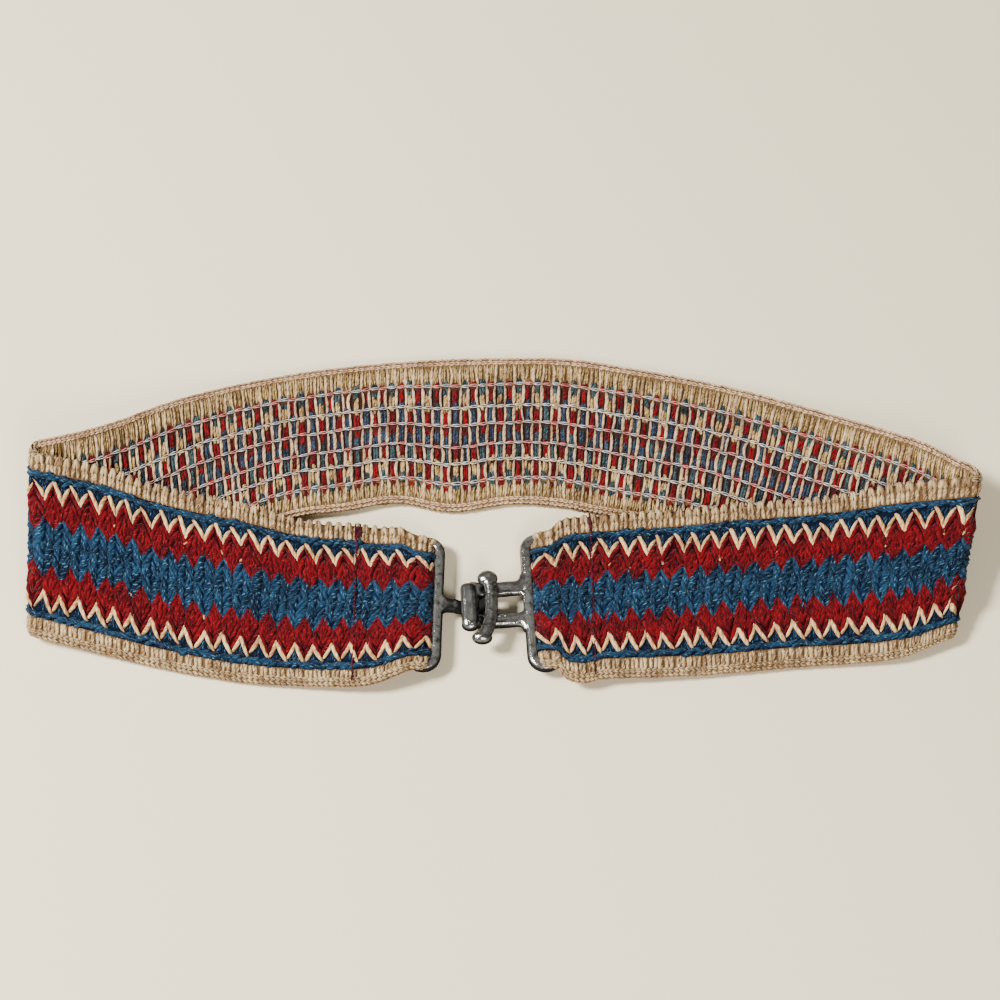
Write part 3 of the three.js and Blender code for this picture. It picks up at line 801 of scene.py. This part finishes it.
WHOLE = [(0, BAND_LENGTH)]
NOT_FRONTS = [(0, LEFT_FRONT[0]), BACK_HALF, (RIGHT_FRONT[1], BAND_LENGTH)]
OUTER_CHAINS = [
    (0.040, 1.10, 1.9, 1.05, 0.46, WHOLE),
    (0.020, 0.66, 1.9, 1.00, 0.44, WHOLE),
    (0.962, 1.10, 2.1, 0.70, 0.42, NOT_FRONTS),
    (0.980, 0.66, 2.1, 0.70, 0.42, NOT_FRONTS),
]
outer_rim = [link for row in OUTER_CHAINS for link in chain(*row)]
inner_rim = []
for side in (1, -1):
    inner_rim += chain(0.5 + side * 0.462, -1.05, 1.9, 0.80, 0.40, NOT_FRONTS)
    inner_rim += chain(0.5 + side * 0.482, -0.55, 1.9, 0.80, 0.42, WHOLE)
lay_strands("outer_rim", beige_yarn, (LINK, outer_rim), (HAIR, hairs_of(outer_rim, 250, 1.0)))
rim_yarn = yarn("rim_yarn", (252, 230, 200), (230, 194, 154), (168, 126, 92))
lay_strands("inner_rim", rim_yarn, (LINK, inner_rim), (HAIR, hairs_of(inner_rim, 250, 1.0, -1)))

# The inner face shows how the band is made: pale cords run across it, and between them lie short floats of
# the coloured yarns. Six rows of thin chain stitches run along the band and hold the cords down, pink where
# they cross red wool, pale blue where they cross blue and cream elsewhere.
HOLDING_LINES = [0.193, 0.337, 0.455, 0.612, 0.729, 0.840]
STOPS = [0.05, *HOLDING_LINES, 0.95]
cord_yarn = yarn("cord_yarn", (242, 218, 182), (214, 182, 142), (136, 102, 72))
FLOAT_YARNS = {
    "straw": yarn("straw_yarn", (236, 210, 154), (196, 163, 106), (100, 74, 38)),
    "wine": yarn("wine_yarn", (164, 44, 42), (120, 8, 14), (56, 3, 6)),
    "slate": yarn("slate_yarn", (118, 132, 146), (52, 64, 84), (16, 22, 34)),
    "teal": yarn("teal_yarn", (124, 142, 138), (58, 76, 80), (18, 28, 32)),
}
THREADS = {
    "cream": yarn("cream_thread", (255, 250, 238), (250, 230, 206), (198, 162, 136)),
    "pink": yarn("pink_thread", (255, 232, 222), (242, 178, 166), (184, 92, 86)),
    "blue": yarn("pale_blue_thread", (255, 250, 244), (232, 226, 220), (162, 158, 158)),
}
THREAD_OVER = {"straw": "cream", "wine": "pink", "slate": "blue", "teal": "blue"}

# Nothing stands off the inner face where it hugs a slot bar.
BAR_MARGIN = 5
bar_zones = [(run_ends[k] - BAR_MARGIN, run_ends[k + 1] + BAR_MARGIN) for k in (0, 6)]

# Each float of the two kinds of column, which alternate: where it starts and ends, as a share of the width
# from the far edge, its yarn and how many strands lie side by side.
LEAF_COLUMN = [
    (0.050, 0.175, "straw", 3),
    (0.166, 0.202, "wine", 2),
    (0.208, 0.306, "wine", 2),
    (0.300, 0.331, "slate", 2),
    (0.338, 0.466, "slate", 2),
    (0.472, 0.590, "slate", 2),
    (0.584, 0.608, "wine", 2),
    (0.614, 0.702, "wine", 2),
    (0.700, 0.725, "straw", 2),
    (0.734, 0.806, "straw", 2),
    (0.790, 0.842, "teal", 2),
    (0.848, 0.876, "teal", 2),
    (0.862, 0.950, "straw", 3),
]
FOOT_COLUMN = [
    (0.050, 0.170, "straw", 3),
    (0.146, 0.202, "teal", 2),
    (0.208, 0.262, "teal", 2),
    (0.246, 0.331, "straw", 2),
    (0.334, 0.362, "straw", 2),
    (0.352, 0.466, "wine", 2),
    (0.472, 0.528, "wine", 2),
    (0.512, 0.608, "slate", 2),
    (0.614, 0.728, "teal", 2),
    (0.734, 0.842, "wine", 2),
    (0.848, 0.884, "wine", 2),
    (0.870, 0.950, "straw", 3),
]
FINE_PITCH, FINE_WIDTH = 0.76, 0.92
FLOAT_PITCH, FLOAT_WIDTH, HIDDEN_WIDTH = 0.88, 1.20, 1.7
CORD_WIDTH, CORD_HEIGHT = 1.22, 1.05
THREAD_WIDTH, THREAD_HEIGHT = 0.46, 0.44
floats = {kind: [] for kind in FLOAT_YARNS}
threads = {kind: [] for kind in THREADS}
cords = []
for cell in range(CELLS):
    middle = (lines[cell] + lines[cell + 1]) / 2
    if inside(middle, bar_zones):
        continue
    column = LEAF_COLUMN if cell % 2 == 0 else FOOT_COLUMN
    is_back = inside(middle, [BACK_HALF])
    for start, end, kind, strands in column:
        strands = strands if is_back else 1
        pitch, wide = (FINE_PITCH, FINE_WIDTH) if strands == 3 else (FLOAT_PITCH, FLOAT_WIDTH)
        wide = wide if is_back else HIDDEN_WIDTH
        start_fan = 1.35 if start > 0.85 else 0.85
        end_fan = 1.4 if end < 0.2 else 0.85 if kind == "straw" else 0.95
        tilt = rng.normal(0, 0.16)
        deep = 0.85 if kind == "straw" else 0.78
        if kind == "slate" and rng.random() < 0.25:
            kind = "teal"
        for k in range(strands):
            off = (k - (strands - 1) / 2) * pitch
            lean = rng.normal(0, 0.14)
            floats[kind].append(Strand(
                (middle + off * start_fan + lean - tilt, 1 - start + rng.normal(0, 0.008), -deep),
                (middle + off * end_fan + lean + tilt, 1 - end + rng.normal(0, 0.008), -deep),
                (rng.normal(0, 0.14), 0, -0.34), (wide, 0.9), 1.1 * rng.random() - 0.25,
            ))
    for low, high in zip(STOPS[:-1], STOPS[1:]):
        bends = rng.normal(0, 0.20, 2)
        cords.append(Strand(
            (lines[cell] + bends[0], 1 - low, -0.95), (lines[cell] + bends[1], 1 - high, -0.95),
            (rng.normal(0, 0.34), 0, -0.46), (CORD_WIDTH * (1 + rng.normal(0, 0.14)), CORD_HEIGHT),
            1.1 * rng.random() - 0.15,
        ))
    for at in HOLDING_LINES:
        crossed = (k for start, end, k, _ in column if start - 0.006 <= at - 0.01 <= end + 0.006)
        kind = THREAD_OVER[next(crossed, "straw")]
        wave = rng.normal(0, 0.003)
        for half in (1, -1):
            threads[kind].append(Strand(
                (lines[cell] - 0.5, 1 - at + wave - half * 0.003, -1.42),
                (lines[cell + 1] + 0.5, 1 - at + wave + half * 0.003, -1.42),
                (0, half * 0.42 / BAND_WIDTH, -0.12), (THREAD_WIDTH, THREAD_HEIGHT), SHADE_TOP * rng.random(),
            ))
lay_knit("inner_cords", cord_yarn, FINE, cords, [BACK_HALF])
for kind, wool in FLOAT_YARNS.items():
    lay_knit("inner_" + kind, wool, FINE, floats[kind], [BACK_HALF], 250, 1.0, -1)
for kind, thread in THREADS.items():
    seen, unseen = in_zones(threads[kind], [BACK_HALF])
    lay_strands("holding_" + kind, thread, (LINK, seen), (PLAIN, unseen[::2]))

# Dark red thread sews both turned ends down. Its stitches cross the band in a line through all layers, and on
# the hook's side they end in a thick bar tack over the far edge.
LEFT_SEAM_X, RIGHT_SEAM_X = -49.8, 31.8
SEAM_PITCH, TACK_PITCH, TACK_STITCHES = 0.034, 0.42, 5
seam_thread = yarn("seam_thread", (128, 44, 60), (88, 10, 28), (44, 3, 18))
left_seam, right_seam = along_front(LEFT_FRONT, LEFT_SEAM_X), along_front(RIGHT_FRONT, RIGHT_SEAM_X)
seam = []
for s in (left_seam, right_seam):
    for across in np.arange(0.03, 0.95, SEAM_PITCH):
        lean = rng.normal(0, 0.30)
        length = rng.uniform(0.032, 0.048)
        seam.append(Strand(
            (s + lean, across, 1.35), (s - lean, across + length, 1.35), (rng.normal(0, 0.2), 0, 0.6),
            (0.7, 0.6), SHADE_TOP * rng.random(),
        ))
for k in range(TACK_STITCHES):
    s = left_seam + (k - (TACK_STITCHES - 1) / 2) * TACK_PITCH
    seam.append(Strand(
        (s + rng.normal(0, 0.1), 0.875, 1.3), (s + rng.normal(0, 0.2), 0.99, 1.2), (0, 0, 0.75), (0.6, 0.6),
        SHADE_TOP * rng.random(),
    ))
lay_strands("seam_stitches", seam_thread, (STITCH, seam), (HAIR, hairs_of(seam, 60)))

# The clasp is cast metal with a worn nickel plating. The hook half is a slot frame with a stem that dips
# under the eye and rises to a crescent head. The eye half is a slot frame with two arms and a stout end bar.
FRAME_Z = 5.1
WIRE = 4.0
SLOT_LENGTH, SLOT_PITCH, SLOT_CORNER = 48.0, 8.5, 4.1
EYE_LENGTH, EYE_PITCH = 20.5, 12.6
HOOK_PLACE = Matrix.Translation((-21.5, -44.4, 0)) @ Matrix.Rotation(np.radians(-1.4), 4, "Z")
EYE_PLACE = Matrix.Translation((10, -43.9, 0)) @ Matrix.Rotation(np.radians(183.4), 4, "Z")


def rounded_loop(other_x, length, corner, steps=5):
    """The outline of a rectangle with rounded corners, in plan. Its first side is x = 0."""
    outline = []
    for quarter, (side_x, side_y) in enumerate([(1, 1), (-1, 1), (-1, -1), (1, -1)]):
        for angle in np.linspace(quarter, quarter + 1, steps + 1) * np.pi / 2:
            outline.append((
                other_x / 2 + side_x * (abs(other_x) / 2 - corner) + corner * np.cos(angle),
                side_y * (length / 2 - corner) + corner * np.sin(angle),
            ))
    return outline


def cast_bar(bm, stations, closed=False, boxy=1.0):
    """A bar through stations, each (x, y, z, wide, high). boxy below 1 flattens its sides."""
    points = [Vector(station[:3]) for station in stations]
    last = len(points) - 1
    places = []
    for i, (_, _, _, wide, high) in enumerate(stations):
        before = points[(i - 1) % len(points)] if closed else points[max(i - 1, 0)]
        after = points[(i + 1) % len(points)] if closed else points[min(i + 1, last)]
        path = (after - before).normalized()
        side = Vector((0, 0, 1)).cross(path).normalized()
        up = path.cross(side)
        axes = Matrix((side * wide / 2, up * high / 2, path)).transposed().to_4x4()
        places.append(Matrix.Translation(points[i]) @ axes)
    ring = bmesh.ops.create_circle(bm, cap_ends=False, segments=16, radius=1)["verts"]
    for vert in ring:
        vert.co.x = np.sign(vert.co.x) * abs(vert.co.x) ** boxy
        vert.co.y = np.sign(vert.co.y) * abs(vert.co.y) ** boxy
    bmesh.ops.transform(bm, matrix=places[0], verts=ring)
    first = edges = list({edge for vert in ring for edge in vert.link_edges})
    for here, onward in zip(places[:-1], places[1:]):
        grown = bmesh.ops.extrude_edge_only(bm, edges=edges)["geom"]
        verts = [item for item in grown if isinstance(item, bmesh.types.BMVert)]
        edges = [item for item in grown if isinstance(item, bmesh.types.BMEdge)]
        bmesh.ops.transform(bm, matrix=onward @ here.inverted(), verts=verts)
    if closed:
        bmesh.ops.bridge_loops(bm, edges=first + edges)
    else:
        bmesh.ops.edgeloop_fill(bm, edges=first)
        bmesh.ops.edgeloop_fill(bm, edges=edges)


def knob(bm, place, size):
    """A ball, flattened to its size along each axis."""
    shape = Matrix.Translation(place) @ Matrix.Diagonal((*[part / 2 for part in size], 1))
    bmesh.ops.create_uvsphere(bm, u_segments=16, v_segments=10, radius=1, matrix=shape)


def slot_frame(bm, length):
    """The rectangular frame whose other bar the band's end wraps."""
    outline = rounded_loop(-SLOT_PITCH, length, SLOT_CORNER)
    cast_bar(bm, [(x, y, FRAME_Z, WIRE, WIRE) for x, y in outline], closed=True, boxy=0.95)


# How far, in millimetres, the painted shade on the metal's low sides fades out.
PAINTED_SHADE_FADE = 0.9


def metal_material(name, first_z, steps):
    """Nickel plating, polished on top, brownish where worn, with scratches, and with painted shade low on its
    sides: there the base colour is near black and less metallic, so they reflect little. The painted shade
    ends first_z high, and that height changes along X by steps, each (from, to, rise)."""
    material, tree, shader = new_material(name)
    place = add_node(tree, "ShaderNodeTexCoord").outputs["Object"]
    parts = add_node(tree, "ShaderNodeSeparateXYZ", in_0=place)
    height = math(tree, "SUBTRACT", parts.outputs[2], first_z * MM)
    for x0, x1, rise in steps:
        step = add_node(
            tree, "ShaderNodeMapRange", interpolation_type="SMOOTHSTEP", in_Value=parts.outputs[0],
            in_1=x0 * MM, in_2=x1 * MM, in_3=0.0, in_4=rise * MM,
        ).outputs[0]
        height = math(tree, "SUBTRACT", height, step)
    above_painted_shade = math(tree, "MULTIPLY", height, 1 / (PAINTED_SHADE_FADE * MM), clamp=True)
    wear = noise(tree, place, 420.0, 5.0, 0.6)
    worn = ramp(tree, wear, 0.46, 5.0)
    polished = mix_colours(tree, worn, rgb(174, 172, 166), rgb(76, 73, 68))
    # Painted shade: the low sides take a near-black colour and, below, less metal, so they reflect little.
    base = mix_colours(tree, above_painted_shade, rgb(34, 33, 32), polished)
    metallic = math(tree, "ADD", math(tree, "MULTIPLY", above_painted_shade, 0.7), 0.3)
    rough = math(tree, "ADD", math(tree, "MULTIPLY", worn, 0.2), 0.14)
    stretched = add_node(
        tree, "ShaderNodeVectorMath", operation="MULTIPLY", in_0=place, in_1=(1400, 5200, 3000),
    ).outputs[0]
    scratches = math(tree, "MULTIPLY", noise(tree, stretched, 1.0, 3.0), 0.25)
    uneven = math(tree, "ADD", math(tree, "MULTIPLY", wear, 2.0), scratches)
    finish_surface(
        tree, shader, (uneven, 0.45, 0.0003), Base_Color=base, Metallic=metallic, Roughness=rough,
        Specular_Tint=(0.3, 0.3, 0.3, 1), Specular_IOR_Level=0.0,
    )
    return material


VOXEL = 0.34


def cast_piece(name, bm, place, nickel):
    """The cast half from its overlapping bars: they are fused, and their joints are rounded by smoothing."""
    bmesh.ops.recalc_face_normals(bm, faces=bm.faces)
    whole = Matrix.Scale(MM, 4) @ Matrix.Translation(Vector(BELT_SHIFT)) @ place
    bmesh.ops.transform(bm, matrix=whole, verts=bm.verts)
    piece = object_of(name + "_cast", bm)
    piece.data.materials.append(nickel)
    fused = piece.modifiers.new("fused", "REMESH")
    fused.mode = "VOXEL"
    fused.voxel_size = VOXEL * MM
    fused.use_smooth_shade = True
    rounded = piece.modifiers.new("rounded", "SMOOTH")
    rounded.factor = 0.5
    rounded.iterations = 2
    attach(piece, "root")
    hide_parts(name)


FILLET_FROM = 1.0


def fillet(x, radius):
    """How far a concave fillet of that radius, which starts at the frame's bar, reaches out at x."""
    left = min(max(radius - (x - FILLET_FROM), 0), radius)
    return radius - (radius**2 - left**2) ** 0.5


STEM = [
    (5.6, 4.2, 5.0, 3.8),
    (8.4, 2.9, 4.9, 3.3),
    (10.6, 2.5, 4.7, 2.9),
    (12.4, 2.7, 4.5, 2.9),
    (14.4, 4.0, 4.2, 3.3),
    (16.2, 6.3, 3.9, 3.5),
    (17.8, 8.4, 4.2, 3.6),
]
STEM_FILLET = 3.4
flare = []
for x in np.linspace(0, 5.2, 14):
    flare.append((x, 0, FRAME_Z - 0.22 * max(x - 1, 0), 4.9 + 2 * fillet(x, STEM_FILLET), 3.7))
HEAD_Z = 8.7
CRESCENT = [
    (16.9, 8.4, 5.0, 4.4),
    (18.0, 6.2, 4.8, 4.2),
    (18.6, 2.6, 4.4, 4.0),
    (18.7, -2.8, 4.4, 4.0),
    (18.5, -7.2, 4.5, 4.0),
    (17.8, -10.2, 4.6, 4.0),
    (16.9, -12.4, 4.6, 4.0),
    (15.8, -14.0, 4.4, 4.0),
]
CUP = [(15.9, -6.4, 3.4), (15.9, 7.4, 3.4)]
hook = bmesh.new()
slot_frame(hook, SLOT_LENGTH)
cast_bar(hook, flare + [(x, 0, z, wide, high) for x, z, wide, high in STEM], boxy=0.8)
cast_bar(hook, [(x, y, HEAD_Z, wide, high) for x, y, wide, high in CRESCENT], boxy=0.95)
cast_bar(hook, [(x, y, z, 3.6, 2.4) for x, y, z in CUP])
knob(hook, (17.0, 8.5, HEAD_Z), (7.2, 6.2, 4.8))
knob(hook, (15.8, -14.2, HEAD_Z - 0.3), (7.2, 4.8, 5.0))
# Where the upper edge of the hook's painted shade rises or falls along X.
HOOK_PAINTED_SHADE = [(-19, -12, -1.4), (-9.6, -8.8, HEAD_Z - FRAME_Z + 0.8)]
cast_piece("hook_half", hook, HOOK_PLACE, metal_material("nickel_hook", FRAME_Z + 1.2, HOOK_PAINTED_SHADE))

eye = bmesh.new()
EYE_SLOT_LENGTH = 49.4
slot_frame(eye, EYE_SLOT_LENGTH)
ARM_WIDTHS = {1: 4.4, -1: 5.4}
ARM_DIP, END_RISE = 0.8, 1.0
OUTER_FILLET, INNER_FILLET = 3.4, 1.5
for side, arm_width in ARM_WIDTHS.items():
    arm = []
    for x in np.linspace(0, 16, 30):
        outer, inner = fillet(x, OUTER_FILLET), fillet(x, INNER_FILLET)
        y = side * (EYE_PITCH / 2 + (outer - inner) / 2)
        arm.append((x, y, FRAME_Z - ARM_DIP * min(1, x / 8), arm_width + outer + inner, 4.0))
    arm.append((18.0, side * (EYE_PITCH / 2 - 0.2), FRAME_Z + 0.1, arm_width + 0.4, 4.0))
    arm.append((EYE_LENGTH - 0.6, side * (EYE_PITCH / 2 - 0.3), FRAME_Z + 0.8, arm_width + 0.6, 3.8))
    cast_bar(eye, arm, boxy=0.85)
rim = [(x + 1.3, y + 0.25) for x, y in rounded_loop(17.2, 8.8, 2.2)]
cast_bar(eye, [(x, y, FRAME_Z + 1.1 - ARM_DIP * min(1, x / 8), 1.6, 2.0) for x, y in rim], closed=True)
END_BAR = [
    (-7.9, 4.0, 3.2),
    (-7.3, 5.4, 4.0),
    (-6.0, 5.9, 4.3),
    (6.6, 5.9, 4.3),
    (7.8, 5.4, 3.9),
]
cast_bar(eye, [(EYE_LENGTH, y, FRAME_Z + END_RISE, wide, high) for y, wide, high in END_BAR], boxy=0.85)
knob(eye, (EYE_LENGTH + 0.1, 7.6, FRAME_Z + END_RISE - 0.4), (6.2, 4.6, 4.4))
# Where the upper edge of the eye's painted shade rises or falls along X.
EYE_PAINTED_SHADE = [(-9, -6, -1.4), (6, 9, 1.0)]
cast_piece("eye_half", eye, EYE_PLACE, metal_material("nickel_eye", FRAME_Z + 1.6, EYE_PAINTED_SHADE))

# The belt lies on a pale floor in soft studio light, which comes mostly from the left. The camera stands in
# front of it and looks down at about 60 degrees, as in the photograph.
bm = bmesh.new()
bmesh.ops.create_grid(bm, x_segments=1, y_segments=1, size=3)
floor = object_of("floor", bm)
pale, _, shader = new_material("pale_floor")
shader.inputs["Base Color"].default_value = rgb(244, 229, 194)
shader.inputs["Roughness"].default_value = 0.7
floor.data.materials.append(pale)


def softbox(name, place, size, power):
    """A square area light that faces the belt."""
    light = bpy.data.lights.new(name, "AREA")
    light.size = size
    light.energy = power
    lamp = new_object(name, light)
    lamp.location = place
    lamp.rotation_euler = (-Vector(place)).to_track_quat("-Z", "Y").to_euler()


softbox("key", (-1.0, -0.05, 1.15), 0.36, 56)
softbox("front", (0.25, -1.15, 1.0), 0.5, 18)
softbox("sheen", (0.0, 0.65, 1.13), 0.42, 0.30)
world = bpy.data.worlds.new("studio")
world.use_nodes = True
background = world.node_tree.nodes["Background"]
background.inputs[0].default_value = (0.82, 0.80, 0.75, 1)
background.inputs[1].default_value = 0.26
bpy.context.scene.world = world

camera = new_object("camera", bpy.data.cameras.new("camera"))
camera.data.lens = 101.98
camera.location = (-0.00054, -0.49205, 0.8660)
aim = Vector((-0.00054, 0.00795, 0))
camera.rotation_euler = (aim - camera.location).to_track_quat("-Z", "Y").to_euler()
bpy.context.scene.camera = camera
